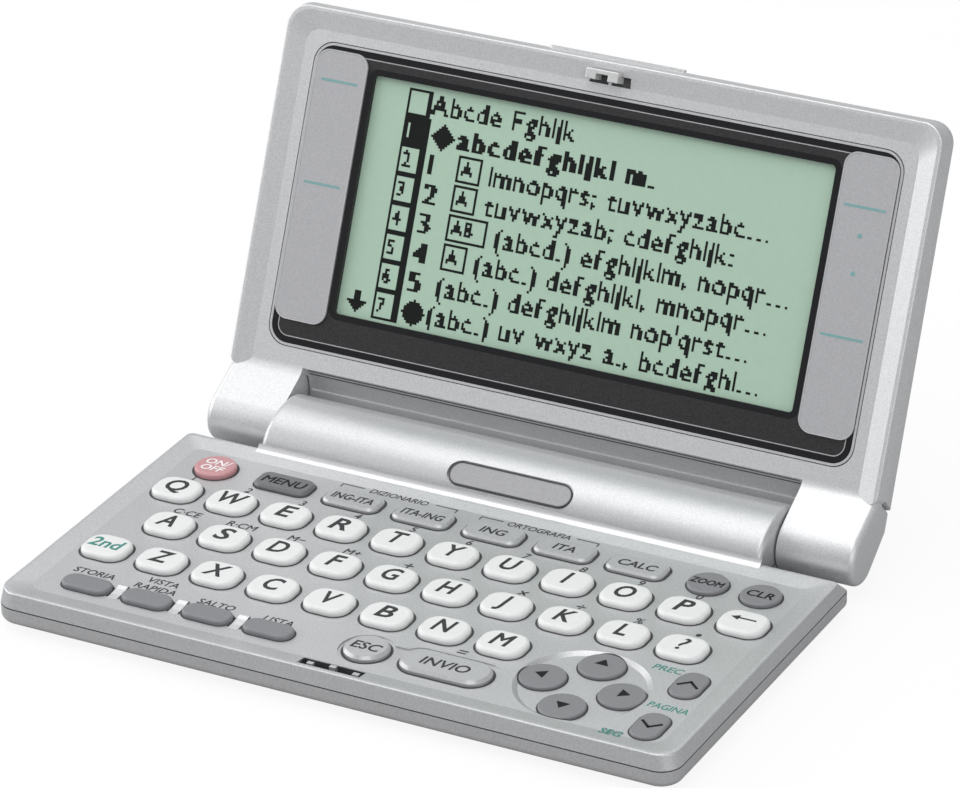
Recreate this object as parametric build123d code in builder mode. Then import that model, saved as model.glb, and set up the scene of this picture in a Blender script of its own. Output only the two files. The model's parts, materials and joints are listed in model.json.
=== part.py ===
from build123d import *

import os
from math import acos, asin, atan, atan2, cos, degrees, hypot, radians, sin, sqrt

# A pocket electronic dictionary, in millimetres, with its lid open as it stands on a table.
# X runs along the hinge, Y from the front edge to the hinge, and Z up from the table.
# Until the last lines the hinge axis stands over Y = 0, so both halves are drawn from it.
# The lid is drawn on planes turned about that axis, in the numbers that it has when it is shut.

# Case: the lower half, a bottom shell and a deck with a raised rim
case_width = 130.0
case_depth = 66.0
case_flare = 0.5
back_flare = 3.2
front_corner = 4.0
back_corner = 1.2
foot_height = 1.5
bottom_height = 3.35
rim_height = 2.85
wall = 1.3
floor_thickness = 1.2
deck_thickness = 1.2
deck_drop = 0.55
rim_width = 0.7
rim_slope = 3.3
crest_round = 0.3
bottom_round = 1.4
seam_gap = 0.1

# Hinge: a barrel on the case, which holds the cells, between two knuckles on the lid
hinge_reach = 10.6
hinge_height = 5.5
barrel_front = 10.9
barrel_radius = 6.5
barrel_round = 1.0
barrel_wall = 2.5
knuckle_radius = 5.0
knuckle_length = 14.7
knuckle_gap = 0.3
knuckle_round = 1.2
pin_radius = 1.5
pin_length = 11.0
pin_gap = 0.03
open_angle = 113.8

# Badge bed: a shallow stadium sunk in the front of the barrel
badge_width = 25.0
badge_height = 5.2
badge_depth = 0.55
badge_rise = 38.0

# Cells, two in line, and the springs and plates that they touch
cell_radius = 5.25
cell_tip_radius = 1.9
cell_tip_length = 1.0
cell_gap = 0.2
spring_radius = 3.6
spring_length = 5.4
contact_thickness = 0.4
door_gap = 0.1
door_front = 5.3

# Deck: where the key groups lie, from the case's sides and edges and from each other
letter_margin_left = 9.5
letter_margin_right = 8.64
letter_gap_x = 2.436
letter_gap_y = 4.515
letter_flat = 1.65
power_inset = 11.4
clear_inset = 10.2
zoom_pitch = 10.1
power_to_menu = 14.3
calculator_to_zoom = 13.5
function_gap = 3.0
function_inset = 9.9
function_to_letters = 10.4
soft_inset = 13.2
soft_row_y = 8.9
soft_to_letters = 12.67
soft_to_escape = 18.12
soft_gap = 2.56
escape_to_enter = 15.1
enter_to_arrows = 23.1
escape_y = 10.7
enter_y = 10.9
pad_front = 4.1
pad_back = 2.16
pad_edge = 0.3
arrow_gap = 2.265
page_inset = 8.0
page_width = 5.4
page_gap = 6.2

# Keys: the height over the deck and the edge break of each shape, and the sizes that stand alone
key_rises = {
    "letter": (1.15, 0.75),
    "function": (0.85, 0.4),
    "power": (1.0, 0.45),
    "zoom": (0.7, 0.35),
    "soft": (0.9, 0.5),
    "escape": (0.75, 0.5),
    "enter": (0.75, 0.5),
    "arrow": (0.05, 0.3),
    "page": (0.5, 0.4),
}
function_depth = 5.6
function_corner = 1.9
power_size = 7.7
zoom_size = 7.4
soft_depth = 4.7
soft_corner = 2.3
escape_size = 8.1
enter_width = 16.9
enter_depth = 7.4
enter_corner = 3.6
page_corner = 2.6
key_gap = 0.18
flange_width = 0.5
flange_height = 0.6
flange_gap = 0.1

# Hollows in the deck: a dish under the arrows, and shallow beds round some keys
dish_depth = 0.55
dish_slope = 0.9
bed_depth = 0.3
bed_margin = 1.0
band_depth = 3.2

# Inside the case
sheet_height = 0.5
board_height = 0.8
board_margin = 6.2
board_corner = 1.0
board_rib = 0.55
rib_thickness = 1.0
rib_spacing = 28.0
rib_count = 4
screw_inset_x = 3.7
screw_inset_front = 3.4
screw_inset_back = 3.4
screw_radius = 0.8
head_radius = 1.5
head_height = 0.8
head_recess = 1.0
boss_radius = 1.8
screw_gap = 0.1
foot_radius = 2.8
foot_recess = 0.3
foot_round = 0.4
foot_inset_x = 10.0
foot_inset_front = 8.0
foot_inset_back = 1.6

# Latch: a slot in the front rim with three teeth, and a forked catch that slides in the lid
latch_x = 0.3
latch_width = 12.0
latch_depth = 2.6
latch_inset = 1.1
shelf_margin = 1.0
shelf_thickness = 0.8
tooth_width = 1.2
tooth_depth = 0.85
tooth_pitch = 4.4
tooth_drops = (0.75, 0.4, 0.75)
catch_inset = 1.6
catch_gap = 0.15
catch_reach = 1.7
catch_round = 0.2
bar_depth = 0.8
leg_width = 2.0
leg_depth = 1.9
leg_length = 1.4
hole_length = 2.2
hole_spare = 0.6

# Lid
lid_gap = 0.15
frame_height = 2.86
lid_front_height = 5.6
lid_back_height = 7.4
lid_round = 1.7
lid_skin = 1.3
lid_recess = 0.9
neck_start = 10.3
neck_round = 3.0
frame_back = 1.1
cover_back = 8.3
cover_lip = 4.4
lip_rise = 1.0
channel_gap = 0.55
lip_width = 27.0
lip_depth = 1.6
lip_height = 0.45
scoop_x = 21.0
scoop_width = 24.0
scoop_rise = 0.9
scoop_depth = 0.3
panel_margin_side = 6.3
panel_margin_front = 5.93
panel_margin_back = 3.87
panel_corner = 4.0
panel_sink = 0.15
panel_thickness = 1.0
panel_gap = 0.1
window_margin_side = 12.7
window_margin_front = 4.45
window_margin_back = 7.65
window_corner = 0.6
glass_margin = 1.5
glass_thickness = 1.8
plate_margin_side = 0.65
plate_margin_front = 1.27
plate_margin_back = 4.83
plate_to_window = 1.45
plate_corner = 2.6
plate_rise = 0.35

# Levels and places that follow from the sizes above
front_y = -(case_depth + hinge_reach)
back_y = -hinge_reach
seam_z = foot_height + bottom_height
crest_z = seam_z + rim_height
deck_z = crest_z - deck_drop
ceiling_z = deck_z - deck_thickness
hinge_z = foot_height + hinge_height
floor_z = foot_height + floor_thickness
board_z = floor_z + board_rib
sheet_z = board_z + board_height
flange_z = ceiling_z - flange_gap - flange_height
door_drop = hinge_z - barrel_radius
rear_arc = 90 - degrees(asin(seam_gap / barrel_radius))
bore_radius = cell_radius + cell_gap
knuckle_x = case_width / 2 - knuckle_length
barrel_width = 2 * (knuckle_x - knuckle_gap)
bore_half = barrel_width / 2 - barrel_wall
cell_length = bore_half - contact_thickness - spring_length / 2 - cell_tip_length
bore_wall = -cell_radius + wall
rim_inset = rim_width + rim_slope
board_y = front_y + case_depth / 2
board_width = case_width - 2 * board_margin
board_depth = case_depth - 2 * board_margin
latch_y = front_y + latch_inset + latch_depth / 2
catch_y = front_y + catch_inset
tooth_y = catch_y + bar_depth + catch_gap + tooth_depth / 2
tooth_xs = [latch_x + step * tooth_pitch for step in (-1, 0, 1)]
leg_xs = [x + (tooth_width + leg_width) / 2 + catch_gap for x in tooth_xs[:2]]
catch_travel = tooth_pitch - tooth_width - leg_width - 2 * catch_gap
shut_level = crest_z + lid_gap - hinge_z
lid_slope = (lid_back_height - lid_front_height) / (case_depth + hinge_reach - cover_back)
lid_lean = (0, sin(radians(open_angle)), cos(radians(open_angle)))
lid_plane = Plane((0, 0, hinge_z), (1, 0, 0), lid_lean)

# Keys: the places of the groups, in X from the middle of the case and in Y from its front edge
power_x = power_inset - case_width / 2
menu_x = power_x + power_to_menu
clear_x = case_width / 2 - clear_inset
zoom_x = clear_x - zoom_pitch
function_pitch = (zoom_x - calculator_to_zoom - menu_x) / 5
function_row_y = case_depth - function_inset
first_letter_x = letter_margin_left - case_width / 2
first_letter_y = function_row_y - function_to_letters
key_pitch = (case_width - letter_margin_left - letter_margin_right) / 10
row_pitch = (first_letter_y - soft_row_y - soft_to_letters) / 2
letter_width = key_pitch - letter_gap_x
letter_depth = row_pitch - letter_gap_y
dish_radius = (first_letter_y - row_pitch - letter_depth / 2 - pad_back - pad_front) / 2
arrow_size = ((dish_radius - pad_edge) * sqrt(2) - arrow_gap) / (1 + sqrt(2) / 2)
arrow_reach = dish_radius - pad_edge - arrow_size / 2
last_letter_edge = first_letter_x + 7 * key_pitch + letter_width / 2
page_x = case_width / 2 - page_inset
arrow_x = (last_letter_edge + page_x - page_width / 2) / 2
arrow_y = pad_front + dish_radius
enter_x = arrow_x - enter_to_arrows
escape_x = enter_x - escape_to_enter
soft_x = soft_inset - case_width / 2
soft_pitch = (escape_x - soft_x - soft_to_escape) / 3

# Key outlines: width, depth and corner radius. A round one has no depth.
key_sizes = {
    "letter": (letter_width, letter_depth, (min(letter_width, letter_depth) - letter_flat) / 2),
    "function": (function_pitch - function_gap, function_depth, function_corner),
    "power": (power_size, 0, 0),
    "zoom": (zoom_size, 0, 0),
    "soft": (soft_pitch - soft_gap, soft_depth, soft_corner),
    "escape": (escape_size, 0, 0),
    "enter": (enter_width, enter_depth, enter_corner),
    "arrow": (arrow_size, 0, 0),
    "page": (page_width, 2 * arrow_reach - page_gap, page_corner),
}

# The panel of the lid, its window and the plates beside it, in the same X and Y
panel_width = case_width - 2 * panel_margin_side
panel_depth = case_depth - panel_margin_front - panel_margin_back
panel_y = panel_margin_front + panel_depth / 2
window_width = panel_width - 2 * window_margin_side
window_depth = panel_depth - window_margin_front - window_margin_back
window_y = panel_margin_front + window_margin_front + window_depth / 2
plate_width = window_margin_side - plate_margin_side - plate_to_window
plate_depth = panel_depth - plate_margin_front - plate_margin_back
plate_x = (panel_width - plate_width) / 2 - plate_margin_side
plate_y = panel_margin_front + plate_margin_front + plate_depth / 2

screw_places = [
    (side * (case_width / 2 - screw_inset_x), y)
    for side in (-1, 1)
    for y in (front_y + screw_inset_front, back_y - screw_inset_back)
]
foot_places = [
    (side * (case_width / 2 - foot_inset_x), y)
    for side in (-1, 1)
    for y in (front_y + foot_inset_front, back_y - foot_inset_back)
]


def lid_level(height):
    """The plane across the lid this far out from its rim. Its Y still runs back to the hinge."""
    return lid_plane.offset(shut_level + height)


def lid_side(x=0.0):
    """The plane across the hinge at this X. Its X runs back along the lid and its Y out of it."""
    return Plane((x, 0, hinge_z), lid_plane.y_dir, (1, 0, 0))


def lid_top(y):
    """How far the lid's outer face stands from the hinge's own level at this Y."""
    return shut_level + lid_front_height + (y - front_y) * lid_slope


def plan_outline(grow, back_grow, corner_cut=0.0):
    """The outline of both halves seen from above, let out at the front and sides, and at the back."""
    depth = case_depth + grow + back_grow
    with Locations((0, back_y + back_grow - depth / 2)):
        Rectangle(case_width + 2 * grow, depth)
    fillet(vertices().sort_by(Axis.Y)[:2], front_corner - corner_cut)
    fillet(vertices().sort_by(Axis.Y)[-2:], back_corner)


def plan_frustum(low, high, mode=Mode.ADD):
    """A body between two outlines, each given as its plane and the sizes of its outline."""
    sections = []
    for plane, sizes in (low, high):
        with BuildSketch(plane) as section:
            plan_outline(*sizes)
        sections.append(section.sketch)
    loft(sections, ruled=True, mode=mode)


def across_rod(radius, x_from, x_to, mode=Mode.SUBTRACT):
    """A rod along the hinge axis from one X to another."""
    with Locations(Location(((x_from + x_to) / 2, 0, hinge_z), (0, 90, 0))):
        Cylinder(radius, x_to - x_from, mode=mode)


def key_places():
    """Every key of the deck: its name, shape and place."""
    places = []
    rows = [
        ([*"qwertyuiop", "backspace"], 0.0),
        ([*"asdfghjkl", "question"], 0.5),
        (["second", *"zxcvbnm"], 0.0),
    ]
    for row, (names, shift) in enumerate(rows):
        for column, name in enumerate(names):
            x = first_letter_x + (column + shift) * key_pitch
            places.append((f"key_{name}", "letter", x, first_letter_y - row * row_pitch))
    places.append(("key_power", "power", power_x, function_row_y))
    places.append(("key_menu", "function", menu_x, function_row_y))
    for column in range(1, 5):
        places.append(("language_keys", "function", menu_x + column * function_pitch, function_row_y))
    places.append(("key_calculator", "function", menu_x + 5 * function_pitch, function_row_y))
    places.append(("key_zoom", "zoom", zoom_x, function_row_y))
    places.append(("key_clear", "zoom", clear_x, function_row_y))
    for column in range(4):
        places.append(("soft_keys", "soft", soft_x + column * soft_pitch, soft_row_y))
    places.append(("key_escape", "escape", escape_x, escape_y))
    places.append(("key_enter", "enter", enter_x, enter_y))
    for name, turn in (("right", 0), ("up", 90), ("left", 180), ("down", 270)):
        x = arrow_x + arrow_reach * cos(radians(turn))
        places.append((f"key_{name}", "arrow", x, arrow_y + arrow_reach * sin(radians(turn))))
    places.append(("key_page_up", "page", page_x, arrow_y + arrow_reach))
    places.append(("key_page_down", "page", page_x, arrow_y - arrow_reach))
    return [(name, shape, x, front_y + y) for name, shape, x, y in places]


def key_outline(shape, grow):
    """The outline of one key, let out all round."""
    width, depth, corner = key_sizes[shape]
    if depth:
        RectangleRounded(width + 2 * grow, depth + 2 * grow, corner + grow)
    else:
        Circle(width / 2 + grow)


def make_key(places):
    """One key, or the keys that share a name: each a cap with a flange that the deck holds in."""
    with BuildPart() as key:
        for _, shape, x, y in places:
            rise, edge = key_rises[shape]
            with BuildSketch(Plane((x, y, flange_z))):
                key_outline(shape, flange_width)
            extrude(amount=flange_height)
            with BuildSketch(Plane((x, y, flange_z + flange_height))):
                key_outline(shape, 0)
            extrude(amount=deck_z + rise - flange_z - flange_height)
            rim = faces(Select.LAST).sort_by(Axis.Z)[-1].edges()
            if shape in ("function", "escape", "enter"):
                chamfer(rim, edge)
            else:
                fillet(rim, edge)
    return key


def deck_beds():
    """The shallow beds: one round the escape and enter keys, and a band behind the soft keys."""
    with Locations((enter_x, front_y + enter_y)):
        RectangleRounded(enter_width + 2 * bed_margin, enter_depth + 2 * bed_margin, enter_corner)
    with Locations((escape_x, front_y + escape_y)):
        Circle(escape_size / 2 + bed_margin)
    with Locations(((escape_x + enter_x) / 2, front_y + (escape_y + enter_y) / 2)):
        Rectangle(enter_x - escape_x, enter_depth - bed_margin)
    with Locations((soft_x + 1.5 * soft_pitch, front_y + soft_row_y)):
        Rectangle(3 * soft_pitch, band_depth)


def barrel_top():
    """The upper part of the hinge barrel, with rounded ends and the bed of the badge."""
    rise = radians(badge_rise)
    y, z = -barrel_front * cos(rise), barrel_radius * sin(rise)
    outward = (0, y / barrel_front**2, z / barrel_radius**2)
    with BuildPart() as barrel:
        with BuildSketch(Plane.YZ.offset(-barrel_width / 2)):
            with BuildLine():
                EllipticalCenterArc((0, hinge_z), barrel_front, barrel_radius, start_angle=90, arc_size=90)
                CenterArc((0, hinge_z), barrel_radius, 0, 90)
                Polyline(
                    (barrel_radius, hinge_z),
                    (bore_wall, hinge_z),
                    (bore_wall, seam_z),
                    (-barrel_front, seam_z),
                    (-barrel_front, hinge_z),
                )
            make_face()
        extrude(amount=barrel_width)
        fillet(edges().filter_by(GeomType.ELLIPSE) + edges().filter_by(GeomType.CIRCLE), barrel_round)
        with BuildSketch(Plane((0, y, hinge_z + z), (1, 0, 0), outward).offset(-badge_depth)):
            SlotOverall(badge_width, badge_height)
        extrude(amount=barrel_radius, mode=Mode.SUBTRACT)
    return barrel.part


def make_deck_cover():
    """The top shell: rim, key deck and the upper part of the hinge barrel."""
    with BuildPart() as deck:
        plan_frustum(
            (Plane.XY.offset(seam_z), (case_flare, back_flare)),
            (Plane.XY.offset(crest_z), (0, 0)),
        )
        fillet(faces().sort_by(Axis.Z)[-1].edges(), crest_round)
        add(barrel_top())
        plan_frustum(
            (Plane.XY.offset(deck_z), (-rim_inset, -rim_inset, rim_slope / 3)),
            (Plane.XY.offset(crest_z), (-rim_width, -rim_width)),
            Mode.SUBTRACT,
        )
        with BuildSketch(Plane.XY.offset(seam_z)):
            plan_outline(-wall, -wall, wall)
        extrude(amount=ceiling_z - seam_z, mode=Mode.SUBTRACT)
        across_rod(bore_radius, -bore_half, bore_half)
        across_rod(pin_radius + pin_gap, -barrel_width / 2, barrel_width / 2)
        with Locations((arrow_x, front_y + arrow_y, deck_z - dish_depth / 2)):
            Cone(dish_radius - dish_slope, dish_radius, dish_depth, mode=Mode.SUBTRACT)
        with BuildSketch(Plane.XY.offset(deck_z)):
            deck_beds()
        extrude(amount=-bed_depth, mode=Mode.SUBTRACT)
        with BuildSketch(Plane.XY.offset(ceiling_z)):
            for _, shape, x, y in key_places():
                with Locations((x, y)):
                    key_outline(shape, key_gap)
            with Locations((latch_x, latch_y)):
                Rectangle(latch_width, latch_depth)
        extrude(amount=crest_z - ceiling_z, mode=Mode.SUBTRACT)
        with BuildSketch(Plane.XY.offset(ceiling_z)):
            with Locations((latch_x, latch_y)):
                Rectangle(latch_width + 2 * shelf_margin, latch_depth + 2 * shelf_margin)
        extrude(amount=-shelf_thickness)
        for x, drop in zip(tooth_xs, tooth_drops):
            with BuildSketch(Plane.XY.offset(ceiling_z)):
                with Locations((x, tooth_y)):
                    Rectangle(tooth_width, tooth_depth)
            extrude(amount=crest_z - drop - ceiling_z)
        with BuildSketch(Plane.XY.offset(seam_z)):
            with Locations(*screw_places):
                Circle(boss_radius)
                Circle(screw_radius + screw_gap, mode=Mode.SUBTRACT)
        extrude(amount=ceiling_z - seam_z)
        scoop_radius = (scoop_width**2 / 4 + scoop_depth**2) / (2 * scoop_depth)
        scoop_lean = atan(scoop_depth / scoop_rise - case_flare / rim_height)
        scoop_y = front_y - case_flare + scoop_depth - scoop_radius / cos(scoop_lean)
        for side in (-1, 1):
            with Locations(Location((side * scoop_x, scoop_y, seam_z), (degrees(scoop_lean), 0, 0))):
                Cylinder(scoop_radius, 2 * rim_height, mode=Mode.SUBTRACT)
    return deck


def make_bottom_case():
    """The bottom shell: floor, walls, screw bosses, ribs and the lower part of the barrel's ends."""
    lip_z = seam_z - seam_gap
    with BuildPart() as bottom:
        with BuildSketch(Plane.XY.offset(foot_height)):
            plan_outline(case_flare, back_flare)
        extrude(amount=lip_z - foot_height)
        fillet(faces().sort_by(Axis.Z)[0].edges(), bottom_round)
        with BuildSketch(Plane.YZ.offset(-barrel_width / 2)):
            with BuildLine():
                rear = CenterArc((0, hinge_z), barrel_radius, -90, rear_arc)
                Polyline(
                    rear @ 1,
                    (bore_wall + seam_gap, hinge_z - seam_gap),
                    (bore_wall + seam_gap, lip_z),
                    (back_y, lip_z),
                    (back_y, foot_height),
                    (-door_front, foot_height),
                    (-door_front + foot_height - door_drop, door_drop),
                    (0, door_drop),
                )
            make_face()
        extrude(amount=barrel_width)
        with BuildSketch(Plane.YZ.offset(-bore_half - door_gap)):
            with Locations((-door_front, 0)):
                Rectangle(4 * barrel_radius, hinge_z, align=Align.MIN)
        extrude(amount=2 * (bore_half + door_gap), mode=Mode.SUBTRACT)
        with BuildSketch(Plane.XY.offset(floor_z)):
            plan_outline(case_flare - wall, -wall, wall)
        extrude(amount=lip_z - floor_z, mode=Mode.SUBTRACT)
        across_rod(bore_radius, -bore_half, bore_half)
        across_rod(pin_radius + pin_gap, -barrel_width / 2, barrel_width / 2)
        with BuildSketch(Plane.XY.offset(floor_z)):
            with Locations((0, board_y)):
                with GridLocations(rib_spacing, 1, rib_count, 1):
                    Rectangle(rib_thickness, board_depth)
        extrude(amount=board_rib)
        with BuildSketch(Plane.XY.offset(floor_z)):
            with Locations(*screw_places):
                Circle(boss_radius)
        extrude(amount=lip_z - floor_z)
        with BuildSketch(Plane.XY.offset(foot_height)):
            with Locations(*screw_places):
                Circle(screw_radius + screw_gap)
        extrude(amount=lip_z - foot_height, mode=Mode.SUBTRACT)
        with BuildSketch(Plane.XY.offset(foot_height)):
            with Locations(*screw_places):
                Circle(head_radius + screw_gap)
        extrude(amount=head_recess, mode=Mode.SUBTRACT)
        with BuildSketch(Plane.XY.offset(foot_height)):
            with Locations(*foot_places):
                Circle(foot_radius + seam_gap)
        extrude(amount=foot_recess, mode=Mode.SUBTRACT)
    return bottom


def make_battery_cover():
    """The sliding door of the cell bay: the back and underside of the barrel between its ends."""
    with BuildPart() as door:
        with BuildSketch(Plane.YZ.offset(-bore_half)):
            with BuildLine():
                rear = CenterArc((0, hinge_z), barrel_radius, -90, rear_arc)
                Polyline(
                    rear @ 1,
                    (0, hinge_z - seam_gap),
                    (0, hinge_z - bore_radius),
                    (-door_front + door_gap, hinge_z - bore_radius),
                    (-door_front + door_gap, foot_height),
                    (-door_front + door_gap + foot_height - door_drop, door_drop),
                    (0, door_drop),
                )
            make_face()
        extrude(amount=2 * bore_half)
        across_rod(bore_radius, -bore_half, bore_half)
    return door


def make_cells():
    """Two cells in line in the barrel, each a can with a tip at its right end."""
    start = bore_half - contact_thickness - 2 * (cell_length + cell_tip_length)
    with BuildPart() as cells:
        for number in range(2):
            x = start + number * (cell_length + cell_tip_length)
            across_rod(cell_radius, x, x + cell_length, Mode.ADD)
            across_rod(cell_tip_radius, x + cell_length, x + cell_length + cell_tip_length, Mode.ADD)
    return cells


def make_contacts():
    """The end plates of the cell bay, the left one with a coned spring that reaches the first cell."""
    spring_end = bore_half - contact_thickness - 2 * (cell_length + cell_tip_length)
    with BuildPart() as contacts:
        across_rod(cell_radius - wall, -bore_half, -bore_half + contact_thickness, Mode.ADD)
        across_rod(cell_radius - wall, bore_half - contact_thickness, bore_half, Mode.ADD)
        for x, radius in ((-bore_half + contact_thickness, spring_radius), (spring_end, cell_tip_radius)):
            with BuildSketch(Plane.YZ.offset(x)):
                with Locations((0, hinge_z)):
                    Circle(radius)
        loft()
    return contacts


def make_pins():
    """The two hinge pins, each from the end wall of the barrel into a knuckle."""
    with BuildPart() as pins:
        across_rod(pin_radius, bore_half, bore_half + pin_length, Mode.ADD)
        across_rod(pin_radius, -bore_half - pin_length, -bore_half, Mode.ADD)
    return pins


def make_key_sheet():
    """The rubber sheet under the keys."""
    with BuildPart() as sheet:
        with BuildSketch(Plane.XY.offset(sheet_z)):
            with Locations((0, board_y)):
                RectangleRounded(board_width, board_depth, board_corner)
        extrude(amount=sheet_height)
    return sheet


def make_board():
    """The circuit board under the sheet."""
    with BuildPart() as board:
        with BuildSketch(Plane.XY.offset(board_z)):
            with Locations((0, board_y)):
                RectangleRounded(board_width, board_depth, board_corner)
        extrude(amount=board_height)
    return board


def make_feet():
    """The four rubber feet, each in its own shallow pocket."""
    with BuildPart() as feet:
        with BuildSketch(Plane.XY):
            with Locations(*foot_places):
                Circle(foot_radius)
        extrude(amount=foot_height + foot_recess)
        fillet(faces().filter_by(Plane.XY).sort_by(Axis.Z)[0:4].edges(), foot_round)
    return feet


def make_screws():
    """The four case screws, each with its head sunk in the floor and its shank in the deck's boss."""
    head_z = foot_height + head_recess - head_height
    with BuildPart() as screws:
        with BuildSketch(Plane.XY.offset(head_z)):
            with Locations(*screw_places):
                Circle(head_radius)
        extrude(amount=head_height)
        with BuildSketch(Plane.XY.offset(head_z)):
            with Locations(*screw_places):
                Circle(screw_radius)
        extrude(amount=ceiling_z - screw_gap - head_z)
    return screws


def tangent_point(y, z, turn):
    """Where a line from this point touches the knuckle. A turn of 1 is under it, and -1 over it."""
    angle = atan2(z, y) + turn * acos(knuckle_radius / hypot(y, z))
    return (knuckle_radius * cos(angle), knuckle_radius * sin(angle))


def channel_cut():
    """Takes the room of the barrel out of the lid."""
    with BuildSketch(lid_side(-knuckle_x)) as room:
        Ellipse(barrel_front + channel_gap, barrel_radius + channel_gap)
    extrude(room.sketch, amount=2 * knuckle_x, mode=Mode.SUBTRACT)


def neck_and_knuckle(side):
    """One neck of the lid with its knuckle, rounded at the outer end. A side of 1 is the right one."""
    inner_start = (-neck_start, shut_level + lid_recess)
    outer_start = (-cover_lip, lid_top(-cover_lip))
    deep = -neck_start - neck_round
    parting = shut_level + frame_height
    with BuildPart() as knuckle:
        with BuildSketch(lid_side(side * case_width / 2)):
            with BuildLine():
                Polyline(
                    (deep, parting),
                    (deep, inner_start[1]),
                    inner_start,
                    tangent_point(*inner_start, 1),
                    tangent_point(*outer_start, -1),
                    outer_start,
                    (-cover_back + seam_gap, lid_top(-cover_back)),
                    (-neck_start + seam_gap, parting),
                    close=True,
                )
            make_face()
            fillet(vertices().sort_by_distance((*inner_start, 0))[0], neck_round)
            Circle(knuckle_radius)
        extrude(amount=-side * knuckle_length)
        end_edges = faces().sort_by(Axis.X)[-1 if side > 0 else 0].edges()
        rear_five = end_edges.sort_by(Axis((0, 0, hinge_z), tuple(lid_plane.y_dir)))[-5:]
        fillet(rear_five, knuckle_round)
    return knuckle.part


def make_lid_frame():
    """The inner shell of the lid: rim, sunk tray, bed of the panel, necks and knuckles."""
    with BuildPart() as frame:
        plan_frustum((lid_level(0), (0, frame_back)), (lid_level(frame_height), (case_flare, frame_back)))
        fillet(faces().sort_by(Axis((0, 0, hinge_z), lid_lean))[0].edges(), crest_round)
        plan_frustum(
            (lid_level(0), (-rim_width, 2 * frame_back)),
            (lid_level(lid_recess), (-rim_inset, 2 * frame_back, rim_slope / 3)),
            Mode.SUBTRACT,
        )
        for side in (-1, 1):
            add(neck_and_knuckle(side))
        channel_cut()
        pin_reach = bore_half + pin_length + lid_gap
        across_rod(pin_radius + pin_gap, -pin_reach, pin_reach)
        with BuildSketch(lid_level(lid_recess)):
            with Locations((0, front_y + panel_y)):
                RectangleRounded(panel_width + 2 * panel_gap, panel_depth + 2 * panel_gap, panel_corner)
        extrude(amount=panel_sink + panel_thickness, mode=Mode.SUBTRACT)
        with BuildSketch(lid_level(lid_recess)):
            with Locations((0, front_y + window_y)):
                Rectangle(
                    window_width + 2 * (glass_margin + panel_gap),
                    window_depth + 2 * (glass_margin + panel_gap),
                )
        extrude(amount=frame_height - lid_recess, mode=Mode.SUBTRACT)
        with BuildSketch(lid_level(0)):
            for x in leg_xs:
                with Locations((x - leg_width / 2 - catch_gap, catch_y + bar_depth - catch_gap)):
                    Rectangle(
                        leg_width + catch_travel + hole_spare + 2 * catch_gap,
                        leg_depth - bar_depth + hole_spare + catch_gap,
                        align=Align.MIN,
                    )
        extrude(amount=hole_length, mode=Mode.SUBTRACT)
    return frame


def make_lid_cover():
    """The outer shell of the lid: a hollow plate that thickens to the hinge, with a lip over it."""
    start = -neck_start
    parting = shut_level + frame_height
    side = case_width / 2 + case_flare
    inner_front = front_y - case_flare + lid_skin
    with BuildPart() as cover:
        with BuildSketch(lid_side(-side)):
            with BuildLine():
                Polyline(
                    (front_y - case_flare, parting),
                    (start, parting),
                    (-cover_back, lid_top(-cover_back)),
                    (front_y - case_flare, lid_top(front_y - case_flare)),
                    close=True,
                )
            make_face()
        extrude(amount=2 * side)
        with BuildSketch(lid_level(frame_height)):
            plan_outline(case_flare, 2 * back_flare)
        extrude(amount=2 * lid_back_height, mode=Mode.INTERSECT)
        outer = faces().sort_by(Axis((0, 0, hinge_z), lid_lean))[-1]
        fillet(outer.edges().sort_by(Axis((0, 0, hinge_z), tuple(lid_plane.y_dir)))[:-1], lid_round)
        with BuildSketch(lid_side(-knuckle_x + knuckle_gap)):
            with BuildLine():
                Polyline(
                    (2 * start, parting),
                    (0, parting),
                    (-cover_lip, parting + lip_rise),
                    (-cover_lip, lid_top(-cover_lip)),
                    (2 * start, lid_top(2 * start)),
                    close=True,
                )
            make_face()
        extrude(amount=2 * (knuckle_x - knuckle_gap))
        channel_cut()
        with BuildSketch(lid_side(-side + lid_skin)):
            with BuildLine():
                Polyline(
                    (inner_front, parting),
                    (start - lid_skin, parting),
                    (start - lid_skin, lid_top(start) - lid_skin),
                    (inner_front, lid_top(inner_front) - lid_skin),
                    close=True,
                )
            make_face()
        extrude(amount=2 * (side - lid_skin), mode=Mode.SUBTRACT)
        lip_plane = Plane((0, 0, hinge_z), (1, 0, 0), -lid_plane.y_dir)
        with BuildSketch(lip_plane.offset(case_flare - front_y - lid_skin)):
            with Locations((0, parting + lip_depth / 2)):
                SlotOverall(lip_width, lip_depth)
        extrude(amount=lid_skin + lip_height)
    return cover


def make_screen_panel():
    """The flat panel of the lid, with the window of the display."""
    with BuildPart() as panel:
        with BuildSketch(lid_level(lid_recess + panel_sink)):
            with Locations((0, front_y + panel_y)):
                RectangleRounded(panel_width, panel_depth, panel_corner - panel_gap)
            with Locations((0, front_y + window_y)):
                RectangleRounded(window_width, window_depth, window_corner, mode=Mode.SUBTRACT)
        extrude(amount=panel_thickness)
    return panel


def make_side_plates():
    """The two thin plates on the panel, one on each side of the window."""
    with BuildPart() as plates:
        with BuildSketch(lid_level(lid_recess + panel_sink)):
            with Locations((-plate_x, front_y + plate_y), (plate_x, front_y + plate_y)):
                RectangleRounded(plate_width, plate_depth, plate_corner)
        extrude(amount=-plate_rise)
    return plates


def make_glass():
    """The display behind the window."""
    with BuildPart() as glass:
        with BuildSketch(lid_level(lid_recess + panel_sink + panel_thickness)):
            with Locations((0, front_y + window_y)):
                Rectangle(window_width + 2 * glass_margin, window_depth + 2 * glass_margin)
        extrude(amount=glass_thickness)
    return glass


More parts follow.
